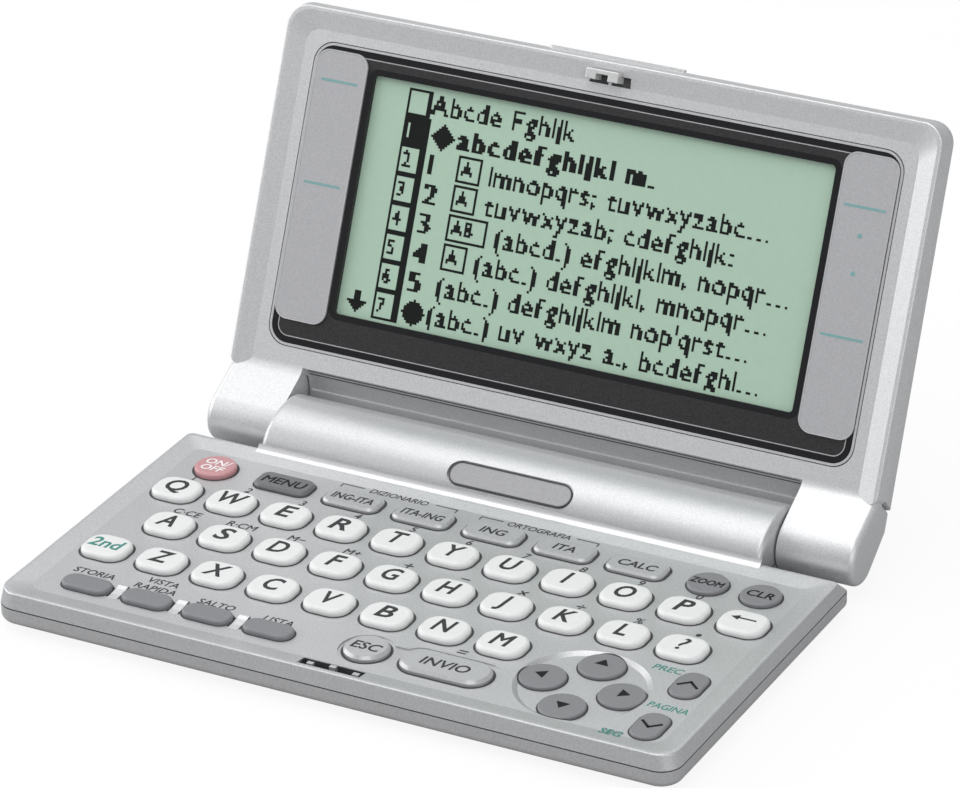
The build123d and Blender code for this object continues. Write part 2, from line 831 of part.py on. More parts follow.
def make_catch():
    """The sliding catch of the latch: a bar with two legs, each with a foot in a hole of the rim."""
    with BuildPart() as catch:
        with BuildSketch(lid_level(-catch_reach)):
            with Locations((sum(leg_xs) / 2, catch_y)):
                Rectangle(tooth_pitch + leg_width, bar_depth, align=(Align.CENTER, Align.MIN))
            with Locations(*[(x, catch_y) for x in leg_xs]):
                Rectangle(leg_width, leg_depth, align=(Align.CENTER, Align.MIN))
        extrude(amount=catch_reach - catch_gap)
        fillet(faces().sort_by(Axis((0, 0, hinge_z), lid_lean))[0].edges(), catch_round)
        with BuildSketch(lid_level(-catch_gap)):
            with Locations(*[(x, catch_y + leg_depth) for x in leg_xs]):
                Rectangle(leg_width, leg_depth - bar_depth, align=(Align.CENTER, Align.MAX))
        extrude(amount=catch_gap + leg_length)
    return catch


parts = {
    "deck_cover": make_deck_cover(),
    "bottom_case": make_bottom_case(),
    "battery_cover": make_battery_cover(),
    "battery_cells": make_cells(),
    "battery_contacts": make_contacts(),
    "hinge_pins": make_pins(),
    "key_sheet": make_key_sheet(),
    "circuit_board": make_board(),
    "rubber_feet": make_feet(),
    "case_screws": make_screws(),
    "lid_frame": make_lid_frame(),
    "lid_cover": make_lid_cover(),
    "screen_panel": make_screen_panel(),
    "side_plates": make_side_plates(),
    "display_glass": make_glass(),
    "latch_catch": make_catch(),
}
for name in dict.fromkeys(place[0] for place in key_places()):
    parts[name] = make_key([place for place in key_places() if place[0] == name])

# The last step moves every part so that the middle of the whole box stands over the origin
box = Compound([part.part for part in parts.values()]).bounding_box()
centre = box.center()
os.makedirs("parts", exist_ok=True)
for name, part in parts.items():
    placed = part.part.moved(Location((-centre.X, -centre.Y, -box.min.Z)))
    placed.label = name
    export_step(placed, f"parts/{name}.step")
print("hinge axis", round(-centre.Y, 3), round(hinge_z - box.min.Z, 3), "box", box.size)
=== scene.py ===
# %% [markdown]
# # A pocket electronic dictionary
# The object is a clamshell: a silver case with a rounded-key keyboard, a barrel along the hinge, and
# a lid with a black panel round a pale green display. The solids come from the CAD model, so they are
# loaded as they are. What this script adds is what a modeller's eye looks for next: paint, print,
# trims, and light.

import json
from math import cos, pi, radians, sin

import bpy
from mathutils import Matrix, Vector
from mathutils.bvhtree import BVHTree
from mathutils.geometry import convex_hull_2d


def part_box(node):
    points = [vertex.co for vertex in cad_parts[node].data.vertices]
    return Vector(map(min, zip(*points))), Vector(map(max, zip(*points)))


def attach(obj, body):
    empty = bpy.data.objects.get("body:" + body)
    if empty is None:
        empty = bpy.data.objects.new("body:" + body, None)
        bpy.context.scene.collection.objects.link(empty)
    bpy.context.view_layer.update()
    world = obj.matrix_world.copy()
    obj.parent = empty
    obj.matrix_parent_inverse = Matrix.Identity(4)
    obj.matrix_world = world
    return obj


MM = 0.001

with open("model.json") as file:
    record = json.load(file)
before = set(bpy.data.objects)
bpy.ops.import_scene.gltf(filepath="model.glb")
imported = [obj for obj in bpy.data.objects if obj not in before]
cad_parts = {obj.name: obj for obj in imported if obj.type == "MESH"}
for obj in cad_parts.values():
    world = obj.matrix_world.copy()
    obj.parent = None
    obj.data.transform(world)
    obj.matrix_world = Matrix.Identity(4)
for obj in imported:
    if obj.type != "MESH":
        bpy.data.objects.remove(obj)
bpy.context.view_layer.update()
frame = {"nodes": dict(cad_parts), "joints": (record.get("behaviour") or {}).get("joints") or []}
bpy.context.scene.view_settings.view_transform = "Standard"

# %% [markdown]
# ## Places to build from
# Everything on this object is measured either from the front edge of the case or on the lid, which
# leans back. Working in a few simple sets of coordinates is easier than turning every point by hand:
# one matrix lays a piece on the deck, one lays it on the lid in the numbers that the lid has when it
# is shut, and one stands on the lid's panel, with X to the right, Y up the screen and Z towards the
# reader. The hinge's place and range are read from the frame, so all of them follow the model.

# %% The deck's and the lid's coordinates, in millimetres
hinge = next(joint for joint in frame["joints"] if joint["name"] == "lid_hinge")
hinge_y, hinge_z = hinge["pos_m"][1:]
open_turn = radians(hinge["range_deg"][1])
front_to_hinge = 76.6
deck_level = 7.15
lid_rim_level, lid_recess, panel_sink = 0.85, 0.9, 0.15
panel_level = lid_rim_level + lid_recess + panel_sink
panel_middle = 34.03

to_metres = Matrix.Scale(MM, 4)
deck_front = Matrix.Translation((0, hinge_y - front_to_hinge * MM, deck_level * MM))
deck_matrix = deck_front @ to_metres
lid_turn = Matrix.Rotation(-open_turn, 4, "X")
lid_front = Matrix.Translation((0, -front_to_hinge, 0))
lid_matrix = Matrix.Translation((0, hinge_y, hinge_z)) @ lid_turn @ to_metres @ lid_front
face_reader = Matrix.Rotation(pi, 4, "X")
panel_matrix = lid_matrix @ Matrix.Translation((0, panel_middle, panel_level)) @ face_reader
print("hinge at", hinge_y, hinge_z, "opened by", round(hinge["range_deg"][1], 1))

# %% [markdown]
# ## Camera
# The photograph was taken from the right and above with a long lens, which keeps parallel edges nearly
# parallel. A long lens from far away gives that look; a short one from near would splay the lid.

# %% Camera
photo_width, focal_pixels, film_width = 960, 5388.3, 36
turn_right, look_down, roll = radians(28.338), radians(26.898), radians(-1.165)
lens_right, lens_front, lens_height = 396.92, 678.43, 457.87
camera_place = deck_matrix @ Vector((lens_right, -lens_front, lens_height - deck_level))

flat_right = Vector((cos(turn_right), sin(turn_right), 0))
backward = Vector((sin(turn_right) * cos(look_down), -cos(turn_right) * cos(look_down), sin(look_down)))
upward = backward.cross(flat_right)
rolled_right = cos(roll) * flat_right + sin(roll) * upward
rolled_up = cos(roll) * upward - sin(roll) * flat_right

camera_data = bpy.data.cameras.new("camera")
camera_data.sensor_width = film_width
camera_data.lens = focal_pixels / photo_width * film_width
camera_data.clip_start = 50 * MM
camera = bpy.data.objects.new("camera", camera_data)
bpy.context.collection.objects.link(camera)
camera_turn = Matrix((rolled_right, rolled_up, backward)).transposed().to_4x4()
camera.matrix_world = Matrix.Translation(camera_place) @ camera_turn
bpy.context.scene.camera = camera
print("lens, mm:", round(camera_data.lens, 1))

# %% [markdown]
# ## Lamps
# Silver paint shows what stands round it, so the light matters as much as the colour. A wide soft lamp
# straight above makes the broad bright bands along the barrel and leaves the faces that look forward a
# calm grey. Two more light the sides, and a weak one behind lifts the edges. Small hard lamps would
# leave spots on the paint. Places and sizes are in metres, powers in watts.

# %% Lamps
lamp_aim = Vector((0, 0, 0.03))
lamps = {
    "overhead": ((-0.08, -0.05, 0.80), (1.3, 0.55), 4.7),
    "left": ((-0.95, -0.15, 0.45), (1.2, 0.8), 6.8),
    "right": ((0.90, -0.55, 0.42), (1.2, 0.8), 3.4),
    "back_left": ((-0.42, 0.85, 0.80), (1.4, 0.4), 0.8),
}
for name, (place, size, power) in lamps.items():
    data = bpy.data.lights.new(name, "AREA")
    data.shape = "RECTANGLE"
    data.size, data.size_y = size
    data.energy = power
    made = bpy.data.objects.new(name, data)
    made.location = place
    made.rotation_euler = (lamp_aim - Vector(place)).to_track_quat("-Z", "Y").to_euler()
    bpy.context.collection.objects.link(made)
print("lamps:", len(bpy.data.lights))

# %% [markdown]
# ## World
# The world does two jobs: a weak cool grey fills the shadows, and a pure white is what the camera sees
# behind the object. One colour can't do both, so a Light Path node tells them apart: rays from the
# camera get the white, all others the fill.

# %% World
fill_colour, fill_strength = (0.80, 0.81, 0.83, 1), 0.45

world = bpy.data.worlds.new("studio")
world.use_nodes = True
world_tree = world.node_tree
fill = world_tree.nodes["Background"]
fill.inputs["Color"].default_value = fill_colour
fill.inputs["Strength"].default_value = fill_strength
bright = world_tree.nodes.new("ShaderNodeBackground")
bright.inputs["Color"].default_value = (1, 1, 1, 1)
bright.inputs["Strength"].default_value = 1.0
path = world_tree.nodes.new("ShaderNodeLightPath")
choose = world_tree.nodes.new("ShaderNodeMixShader")
world_tree.links.new(path.outputs["Is Camera Ray"], choose.inputs["Fac"])
world_tree.links.new(fill.outputs["Background"], choose.inputs[1])
world_tree.links.new(bright.outputs["Background"], choose.inputs[2])
world_tree.links.new(choose.outputs["Shader"], world_tree.nodes["World Output"].inputs["Surface"])
bpy.context.scene.world = world
print("fill strength:", fill_strength)

# %% [markdown]
# ## Floor
# The photograph's ground is white with a soft shadow under the case. A floor that is only white paint
# throws much light up on the object. This one is grey paint, and to the camera most of it glows white,
# so the ground looks white, the shadow stays, and the object is lit by the lamps alone.

# %% Floor
floor_reach = 6.0
floor_colour, floor_roughness = (0.45, 0.45, 0.45, 1), 0.9
glow_strength, glow_share = 1.12, 0.80

corners = [(x * floor_reach, y * floor_reach, 0) for x, y in ((-1, -1), (1, -1), (1, 1), (-1, 1))]
floor_mesh = bpy.data.meshes.new("floor")
floor_mesh.from_pydata(corners, [], [(0, 1, 2, 3)])
floor = bpy.data.objects.new("floor", floor_mesh)
bpy.context.collection.objects.link(floor)

floor_paint = bpy.data.materials.new("floor_white")
floor_paint.use_nodes = True
floor_tree = floor_paint.node_tree
floor_shader = floor_tree.nodes["Principled BSDF"]
floor_shader.inputs["Base Color"].default_value = floor_colour
floor_shader.inputs["Roughness"].default_value = floor_roughness
glow = floor_tree.nodes.new("ShaderNodeEmission")
glow.inputs["Strength"].default_value = glow_strength
seen = floor_tree.nodes.new("ShaderNodeLightPath")
share = floor_tree.nodes.new("ShaderNodeMath")
share.operation = "MULTIPLY"
share.inputs[1].default_value = glow_share
blend = floor_tree.nodes.new("ShaderNodeMixShader")
floor_tree.links.new(seen.outputs["Is Camera Ray"], share.inputs[0])
floor_tree.links.new(share.outputs["Value"], blend.inputs["Fac"])
floor_tree.links.new(floor_shader.outputs["BSDF"], blend.inputs[1])
floor_tree.links.new(glow.outputs["Emission"], blend.inputs[2])
floor_tree.links.new(blend.outputs["Shader"], floor_tree.nodes["Material Output"].inputs["Surface"])
floor_mesh.materials.append(floor_paint)
print("floor, m:", 2 * floor_reach, "wide")

# %% [markdown]
# ## Finishes
# Nearly every surface is moulded plastic. What tells them apart is the grain: the silver is a paint with
# fine metal flakes, the keys are a smooth cream plastic, and the panel is printed black with a fine
# sparkle. One helper makes a plastic, with a fine noise that varies its colour and raises its grain,
# because a perfectly even colour looks like a drawing.


# %% A plastic with grain
def plastic(name, colour, roughness, spread, grain, bump, metallic=0.0):
    """A plastic whose colour varies by the spread and whose surface has a fine grain."""
    made = bpy.data.materials.new(name)
    made.use_nodes = True
    tree = made.node_tree
    shader = tree.nodes["Principled BSDF"]
    shader.inputs["Roughness"].default_value = roughness
    shader.inputs["Metallic"].default_value = metallic
    place = tree.nodes.new("ShaderNodeTexCoord")
    noise = tree.nodes.new("ShaderNodeTexNoise")
    noise.inputs["Scale"].default_value = grain
    noise.inputs["Detail"].default_value = 3.0
    ramp = tree.nodes.new("ShaderNodeValToRGB")
    darker, lighter = ramp.color_ramp.elements
    darker.position, lighter.position = 0.30, 0.70
    darker.color = (*[part * (1 - spread) for part in colour], 1)
    lighter.color = (*[min(1.0, part * (1 + spread)) for part in colour], 1)
    relief = tree.nodes.new("ShaderNodeBump")
    relief.inputs["Strength"].default_value = bump
    relief.inputs["Distance"].default_value = 0.05 * MM
    tree.links.new(place.outputs["Object"], noise.inputs["Vector"])
    tree.links.new(noise.outputs["Fac"], ramp.inputs["Fac"])
    tree.links.new(ramp.outputs["Color"], shader.inputs["Base Color"])
    tree.links.new(noise.outputs["Fac"], relief.inputs["Height"])
    tree.links.new(relief.outputs["Normal"], shader.inputs["Normal"])
    return made


print("a plastic takes: colour, roughness, spread, grain, bump and share of metal")

# %% [markdown]
# ### The paints and plastics
# Each finish is one line. The roughness decides how soft a lamp's reflection is, and the share of metal
# how much of the silver comes from flakes. The lid's silver is a lighter paint than the case's. Red,
# grey and dark keys differ from the cream ones in colour more than in gloss.

# %% Outside finishes
silver_paint = plastic("silver_paint", (0.56, 0.565, 0.575), 0.37, 0.10, 3200.0, 0.25, 0.58)
lid_silver = plastic("lid_silver", (0.675, 0.68, 0.685), 0.42, 0.10, 3200.0, 0.25, 0.54)
silver_floor = plastic("silver_underside", (0.52, 0.52, 0.525), 0.42, 0.08, 3000.0, 0.25, 0.5)
cream_key = plastic("cream_key", (0.74, 0.745, 0.74), 0.34, 0.02, 1500.0, 0.05)
silver_key = plastic("silver_key", (0.50, 0.505, 0.51), 0.33, 0.08, 3200.0, 0.2, 0.35)
grey_key = plastic("grey_key", (0.205, 0.208, 0.218), 0.42, 0.05, 2600.0, 0.15)
dark_key = plastic("dark_key", (0.145, 0.147, 0.153), 0.40, 0.06, 2600.0, 0.15)
red_key = plastic("red_key", (0.53, 0.27, 0.285), 0.36, 0.05, 2000.0, 0.1)
black_panel = plastic("black_panel", (0.015, 0.015, 0.016), 0.50, 0.8, 3600.0, 0.1)
gloss_black = plastic("gloss_black", (0.006, 0.006, 0.007), 0.22, 0.2, 2000.0, 0.0)
plate_grey = plastic("plate_grey", (0.46, 0.46, 0.475), 0.42, 0.09, 3200.0, 0.2, 0.2)
display_green = plastic("display_green", (0.40, 0.55, 0.437), 0.55, 0.015, 900.0, 0.0)
catch_silver = plastic("catch_silver", (0.66, 0.66, 0.66), 0.36, 0.05, 2000.0, 0.1, 0.3)
foot_rubber = plastic("foot_rubber", (0.025, 0.025, 0.027), 0.75, 0.2, 2500.0, 0.6)
print("outside finishes:", len(bpy.data.materials) - 1)

# %% Finishes inside the case and of the trims
sheet_rubber = plastic("sheet_rubber", (0.06, 0.06, 0.065), 0.70, 0.15, 2500.0, 0.4)
board_green = plastic("board_green", (0.03, 0.16, 0.07), 0.45, 0.15, 1200.0, 0.2)
cell_wrap = plastic("cell_wrap", (0.05, 0.055, 0.065), 0.30, 0.10, 1500.0, 0.05)
# This dark finish is painted shade in wells, slot, holes, badge rim and screw heads, and dark joint
# lines.
shade_and_joint_dark = plastic("shade_and_joint_dark", (0.05, 0.05, 0.052), 0.70, 0.2, 2500.0, 0.2)
badge_grey = plastic("badge_grey", (0.34, 0.34, 0.345), 0.45, 0.08, 3200.0, 0.2, 0.3)
# This lighter silver is a painted highlight, for the edges and sweeps that catch a lamp.
painted_highlight = plastic("painted_highlight", (0.72, 0.72, 0.73), 0.28, 0.05, 2400.0, 0.05, 0.6)
plated_steel = plastic("plated_steel", (0.62, 0.61, 0.58), 0.28, 0.08, 2400.0, 0.1, 1.0)
print("finishes so far:", len(bpy.data.materials) - 1)

# %% [markdown]
# ### The parting line
# The two shells of the case meet in a fine dark line all round. The real gap is too narrow to darken by
# itself at this distance, so the paint is darkened at that height too. A Compare node finds the points
# whose height lies within half the line's width, and no piece has to be added.

# %% A dark line in the paint, where the two shells meet
seam_level, seam_half, seam_share = 4.83, 0.11, 0.85


def seam_line(made):
    """Darken a paint in a thin level line."""
    tree = made.node_tree
    place = next(node for node in tree.nodes if node.type == "TEX_COORD")
    ramp = next(node for node in tree.nodes if node.type == "VALTORGB")
    split = tree.nodes.new("ShaderNodeSeparateXYZ")
    near = tree.nodes.new("ShaderNodeMath")
    near.operation = "COMPARE"
    near.inputs[1].default_value = seam_level * MM
    near.inputs[2].default_value = seam_half * MM
    keep = tree.nodes.new("ShaderNodeMath")
    keep.operation = "MULTIPLY_ADD"
    keep.inputs[1].default_value = -seam_share
    keep.inputs[2].default_value = 1.0
    darken = tree.nodes.new("ShaderNodeVectorMath")
    darken.operation = "SCALE"
    tree.links.new(place.outputs["Object"], split.inputs["Vector"])
    tree.links.new(split.outputs["Z"], near.inputs[0])
    tree.links.new(near.outputs["Value"], keep.inputs[0])
    tree.links.new(ramp.outputs["Color"], darken.inputs["Vector"])
    tree.links.new(keep.outputs["Value"], darken.inputs["Scale"])
    tree.links.new(darken.outputs["Vector"], tree.nodes["Principled BSDF"].inputs["Base Color"])


for paint in (silver_paint, silver_floor):
    seam_line(paint)
print("parting line at, mm:", seam_level)

# %% [markdown]
# ### Painting the parts
# The CAD parts come without a finish. A table from each part's name to its finish keeps all choices in
# one place. Most keys are cream, so that is what a part gets when the table doesn't name it.

# %% Give every CAD part its finish
finishes = {
    "deck_cover": silver_paint,
    "bottom_case": silver_floor,
    "battery_cover": silver_floor,
    "battery_cells": cell_wrap,
    "battery_contacts": plated_steel,
    "hinge_pins": plated_steel,
    "case_screws": plated_steel,
    "key_sheet": sheet_rubber,
    "circuit_board": board_green,
    "rubber_feet": foot_rubber,
    "lid_frame": lid_silver,
    "lid_cover": lid_silver,
    "screen_panel": black_panel,
    "side_plates": plate_grey,
    "display_glass": display_green,
    "latch_catch": catch_silver,
    "key_power": red_key,
    "key_menu": dark_key,
}
silver_nodes = ("language_keys", "key_calculator", "key_escape", "key_enter")
grey_nodes = ("key_zoom", "key_clear", "soft_keys", "key_up", "key_down", "key_left", "key_right",
              "key_page_up", "key_page_down")
finishes |= dict.fromkeys(silver_nodes, silver_key) | dict.fromkeys(grey_nodes, grey_key)
for node, made in frame["nodes"].items():
    made.data.materials.clear()
    made.data.materials.append(finishes.get(node, cream_key))
print("parts with a finish:", len(frame["nodes"]))

# %% [markdown]
# ## Print
# The letters are printed in dark grey slanted capitals, a little above the middle of each key, and the
# second meaning of a key stands on the deck behind it in small thin type. Text objects keep them
# editable; each rides on its own key or shell, so it moves when that does. Ink has a little height, and
# a small bevel round the glyph gives both that and the bold stroke.

# %% Inks
black_ink = plastic("black_ink", (0.010, 0.010, 0.011), 0.50, 0.05, 2000.0, 0.0)
dark_ink = plastic("dark_ink", (0.045, 0.045, 0.048), 0.50, 0.05, 2000.0, 0.0)
grey_ink = plastic("grey_ink", (0.085, 0.085, 0.09), 0.50, 0.05, 2000.0, 0.0)
white_ink = plastic("white_ink", (0.85, 0.84, 0.83), 0.50, 0.02, 2000.0, 0.0)
teal_ink = plastic("teal_ink", (0.04, 0.24, 0.20), 0.50, 0.05, 2000.0, 0.0)
dull_specular = 0.15


def dull(ink):
    """Take the shine off an ink, so that it stays dark under the lamps."""
    ink.node_tree.nodes["Principled BSDF"].inputs["Specular IOR Level"].default_value = dull_specular


for ink in (black_ink, dark_ink, grey_ink):
    dull(ink)
print("finishes so far:", len(bpy.data.materials) - 1)

# %% A helper for print
ink_lift, ink_flatness = 0.02, 0.4
capital_share = 0.73
letter_slant = 0.15


def printed(name, words, place, height, body, ink=dark_ink, weight=0.06, stretch=1.0):
    """A line of print on the deck. The place is its middle, the height that of a capital."""
    data = bpy.data.curves.new(name, "FONT")
    data.body = words
    data.size = height / capital_share
    data.align_x = "CENTER"
    data.shear = letter_slant
    data.bevel_depth = weight
    data.bevel_resolution = 0
    data.resolution_u = 3
    data.materials.append(ink)
    made = bpy.data.objects.new(name, data)
    bpy.context.collection.objects.link(made)
    foot = Vector(place) + Vector((-letter_slant * height / 2, -height / 2, ink_lift))
    flattened = Matrix.Diagonal((stretch, 1, ink_flatness, 1))
    made.matrix_world = deck_matrix @ Matrix.Translation(foot) @ flattened
    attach(made, body)


print("a capital's share of the type size:", capital_share)

# %% [markdown]
# ### Letters on the keys
# Every letter key carries one tall narrow capital. Its place comes from the box of its own key, so no
# letter is placed by hand. The built-in font is narrower or wider than the real one in a few letters,
# and a stretch for each of those brings them to the right width.


# %% Letters on the keys
def key_top(node):
    """The middle of a key's upper face, in the deck's coordinates."""
    low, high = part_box(node)
    middle = Vector(((low.x + high.x) / 2, (low.y + high.y) / 2, high.z))
    return deck_matrix.inverted() @ middle


letter_height, letter_weight, letter_stretch = 4.1, 0.13, 0.84
letter_shift = Vector((-0.15, 0.55, 0.0))
wider = dict(zip("serbqpf", (1.15, 1.05, 1.08, 1.05, 0.92, 1.0, 0.95)), question=1.05)
question_weight = 0.05
second_height, second_weight, second_stretch = 3.2, 0.09, 0.95

letters = {letter: letter.upper() for letter in "qwertyuiopasdfghjklzxcvbnm"} | {"question": "?"}
for name, sign in letters.items():
    place = key_top(f"key_{name}") + letter_shift
    stretch = wider.get(name, letter_stretch)
    weight = question_weight if name == "question" else letter_weight
    printed(f"letter_{name}", sign, place, letter_height, f"key_{name}_body", dark_ink, weight, stretch)
place = key_top("key_second") + letter_shift
printed("letter_second", "2nd", place, second_height, "key_second_body", teal_ink, second_weight,
        second_stretch)

# %% [markdown]
# ### Words on the keys
# The function keys carry short words, smaller than the letters, in the middle of the key. They are in
# black where the key is grey, since dark grey ink would get lost there. The power key has two lines.

# %% Words on the keys
key_words = {
    "key_menu": ("MENU", 2.3, black_ink, 1.0),
    "key_calculator": ("CALC", 2.1, dark_ink, 1.0),
    "key_zoom": ("ZOOM", 1.8, black_ink, 0.82),
    "key_clear": ("CLR", 2.1, black_ink, 1.0),
    "key_escape": ("ESC", 2.4, dark_ink, 1.0),
    "key_enter": ("INVIO", 2.5, dark_ink, 1.0),
}
word_weight = 0.06
power_height, power_weight, power_rise = 1.9, 0.05, 1.15

for node, (words, height, ink, stretch) in key_words.items():
    printed(f"word_{node}", words, key_top(node), height, f"{node}_body", ink, word_weight, stretch)
for name, words, rise in (("on", "ON/", power_rise), ("off", "OFF", -power_rise)):
    place = key_top("key_power") + Vector((0, rise, 0))
    printed(f"word_power_{name}", words, place, power_height, "key_power_body", white_ink, power_weight)

# %% [markdown]
# ## Print on the deck
# Each small sign stands behind the key that it belongs to, so its place is worked out from that key
# and one shift, and a loop lays a whole row. Only the words beside the long keys and the page keys have
# shifts of their own.

# %% Signs behind the letter keys
sign_shift = Vector((0.1, 6.15, 0.0))
sign_height, sum_height, point_height = 1.85, 2.6, 2.8
signs = dict(zip("qwertyuiop", "1234567890"))
signs |= dict(zip("asdfghjkl", ("C·CE", "R·CM", "M−", "M+", "+", "−", "×", "÷", "%")))
deck_ink = {"body": "case", "ink": dark_ink, "weight": 0.03}


def on_deck(node, shift):
    """A place on the deck, beside a key."""
    place = key_top(node) + Vector(shift)
    place.z = 0
    return place


for letter, sign in signs.items():
    height = sum_height if sign in "+−×÷" else sign_height
    printed(f"sign_{letter}", sign, on_deck(f"key_{letter}", sign_shift), height, **deck_ink)
printed("sign_point", "•", on_deck("key_question", sign_shift), point_height, **deck_ink)
printed("sign_equals", "=", on_deck("key_enter", (-0.1, 6.2, 0)), sum_height, **deck_ink)
print("signs behind keys:", len(signs) + 2)

# %% Words behind the long keys and beside the page keys
caption_height = 1.75
caption_left = 0.7
soft_width = 9.5
soft_words = {"STORIA": 4.7, "RAPIDA": 4.4, "SALTO": 4.2, "LISTA": 3.9}
low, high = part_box("soft_keys")
soft_low, soft_high = deck_matrix.inverted() @ low, deck_matrix.inverted() @ high
soft_step = (soft_high.x - soft_low.x - soft_width) / 3
for column, (word, rise) in enumerate(soft_words.items()):
    x = soft_low.x + soft_width / 2 + column * soft_step - caption_left
    y = (soft_low.y + soft_high.y) / 2 + rise
    printed(f"sign_{word.lower()}", word, (x, y, 0), caption_height, **deck_ink)
    if word == "RAPIDA":
        printed("sign_vista", "VISTA", (x + 0.2, y + 2.5, 0), caption_height, **deck_ink)

teal = {**deck_ink, "ink": teal_ink}
rim_rise = Vector((0, 0, 0.14))
prec_place = on_deck("key_page_up", (-5.7, 3.8, 0))
page_place = on_deck("key_page_up", (0.0, -7.8, 0))
seg_place = on_deck("key_page_down", (-5.0, -4.4, 0)) + rim_rise
printed("sign_prec", "PREC", prec_place, caption_height, **teal)
printed("sign_pagina", "PAGINA", page_place, caption_height, stretch=0.86, **teal)
printed("sign_seg", "SEG", seg_place, caption_height, **teal)

# %% [markdown]
# ## Simple shapes for trims
# A trim is a thin shape that follows an outline: a ring, a plate, or a line. A few small builders make
# all of them. Each takes an outline in millimetres, gives it a low and a high level, and closes the
# walls, so that light catches its edges. A flat picture of a trim would not do that.


# %% Outlines: a rounded rectangle and a line of one width
def rounded(width, depth, corner, steps=8):
    """Points round a rectangle with rounded corners, counterclockwise."""
    points = []
    for turn, (side_x, side_y) in enumerate(((1, 1), (-1, 1), (-1, -1), (1, -1))):
        for step in range(steps + 1):
            angle = (turn + step / steps) * pi / 2
            x = side_x * (width / 2 - corner) + corner * cos(angle)
            y = side_y * (depth / 2 - corner) + corner * sin(angle)
            points.append((x, y))
    return points


def stroke(path, width):
    """Outlines of a line of one width along a path, one rectangle for each stretch."""
    outlines = []
    for start, end in zip(path, path[1:]):
        along = (Vector(end) - Vector(start)).normalized() * width / 2
        across = Vector((-along.y, along.x))
        first, last = Vector(start) - along, Vector(end) + along
        outlines.append([first - across, last - across, last + across, first + across])
    return outlines


print("points round a corner:", len(rounded(2, 2, 1)) // 4)


# %% Meshes: a shape, a ring and a plate
def shape(name, points, faces, finish, body, matrix=deck_matrix):
    """A mesh that rides on a body, from points in the coordinates of the matrix."""
    data = bpy.data.meshes.new(name)
    data.from_pydata([matrix @ Vector(point) for point in points], [], faces)
    data.materials.append(finish)
    made = bpy.data.objects.new(name, data)
    bpy.context.collection.objects.link(made)
    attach(made, body)


def walls(count, rows):
    """Faces that join each row of points to the next one, all the way round."""
    faces = []
    for row in range(rows - 1):
        for step in range(count):
            after = (step + 1) % count
            low, high = row * count, (row + 1) * count
            faces.append((low + step, low + after, high + after, high + step))
    return faces


def band(name, outer, inner, levels, finish, body, matrix=deck_matrix, middle=(0, 0)):
    """A ring between two outlines that have as many points each."""
    low, high = levels
    points = []
    for outline, level in ((outer, low), (outer, high), (inner, high), (inner, low)):
        points += [(x + middle[0], y + middle[1], level) for x, y in outline]
    shape(name, points, walls(len(outer), 4), finish, body, matrix)


def slab(name, outlines, levels, finish, body, matrix=deck_matrix, middle=(0, 0)):
    """Flat plates with walls, one for each outline, in a single mesh."""
    points, faces = [], []
    for outline in outlines:
        start, count = len(points), len(outline)
        for level in levels:
            points += [(x + middle[0], y + middle[1], level) for x, y in outline]
        faces += [tuple(start + part for part in face) for face in walls(count, 2)]
        faces.append(tuple(range(start + count, start + 2 * count)))
    shape(name, points, faces, finish, body, matrix)


print("faces of a ring between squares:", len(walls(4, 4)))

# %% [markdown]
# ## Caps of the key strips
# The four language keys are one CAD part, and so are the four long keys in front: each is a strip with
# four equal caps. Their words need the middle of each cap, so the upper points of the strip's mesh are
# shared out over four equal parts of its length. A search for gaps between points is less safe, since
# even one cap has points only round its edge.

# %% Find the caps and print the words on the language keys
strips = ("language_keys", "soft_keys")
caps_on_strip = 4
cap_depth = 0.7


def caps(node):
    """The upper points of every cap of a node, in deck coordinates."""
    made = frame["nodes"][node]
    to_deck = deck_matrix.inverted() @ made.matrix_world
    points = [to_deck @ vertex.co for vertex in made.data.vertices]
    count = caps_on_strip if node in strips else 1
    left, right = min(point.x for point in points), max(point.x for point in points)
    level = max(point.z for point in points) - cap_depth
    found = [[] for _ in range(count)]
    for point in points:
        if point.z > level:
            found[min(count - 1, int((point.x - left) / (right - left) * count))].append(point)
    return found


def cap_middle(points):
    """The middle of a cap's upper face."""
    x = (min(point.x for point in points) + max(point.x for point in points)) / 2
    y = (min(point.y for point in points) + max(point.y for point in points)) / 2
    return Vector((x, y, max(point.z for point in points)))


language_height, language_stretch = 2.1, 0.80
for word, cap in zip(("ING-ITA", "ITA-ING", "ING", "ITA"), caps("language_keys")):
    stretch = language_stretch if "-" in word else 1.0
    name = f"word_{word.lower().replace('-', '_')}"
    printed(name, word, cap_middle(cap), language_height, "language_keys_body", dark_ink, word_weight,
            stretch)
print("caps on the language strip:", len(caps("language_keys")))

# %% [markdown]
# ## Signs that are drawn, not typed
# The arrow keys carry solid triangles, the page keys chevrons, and the delete key a long arrow. Shapes
# this plain are drawn with the builders above, since a font's own arrows differ from maker to maker.
# One triangle is turned for all four ways.

# %% Arrows and chevrons on the keys
sign_thickness = 0.05


def drawn(name, outlines, node, shift=(0, 0, 0), ink=black_ink):
    """A flat sign on top of a key, at a shift from its middle."""
    top = key_top(node)
    levels = (top.z, top.z + sign_thickness)
    slab(name, outlines, levels, ink, f"{node}_body", middle=top + Vector(shift))


arrow = [(-0.4, -1.25), (-0.4, 1.25), (1.5, 0.0)]
for way, turn in (("right", 0), ("up", pi / 2), ("left", pi), ("down", -pi / 2)):
    turned = Matrix.Rotation(turn, 2)
    outline = [turned @ Vector(point) for point in reversed(arrow)]
    drawn(f"arrow_{way}", [outline], f"key_{way}", (-0.2, 0.5, 0))
for way, side in (("page_up", 1), ("page_down", -1)):
    chevron = [(-1.7, -0.75 * side), (0, 0.75 * side), (1.7, -0.75 * side)]
    drawn(f"chevron_{way}", stroke(chevron, 0.5), f"key_{way}")
head, shaft = [(-2.4, 0.0), (-0.9, -0.8), (-0.9, 0.8)], [(-1.0, 0), (2.1, 0)]
drawn("arrow_backspace", [head, *stroke(shaft, 0.38)], "key_backspace", (-0.2, 0.7, 0), dark_ink)
print("drawn signs: 7")

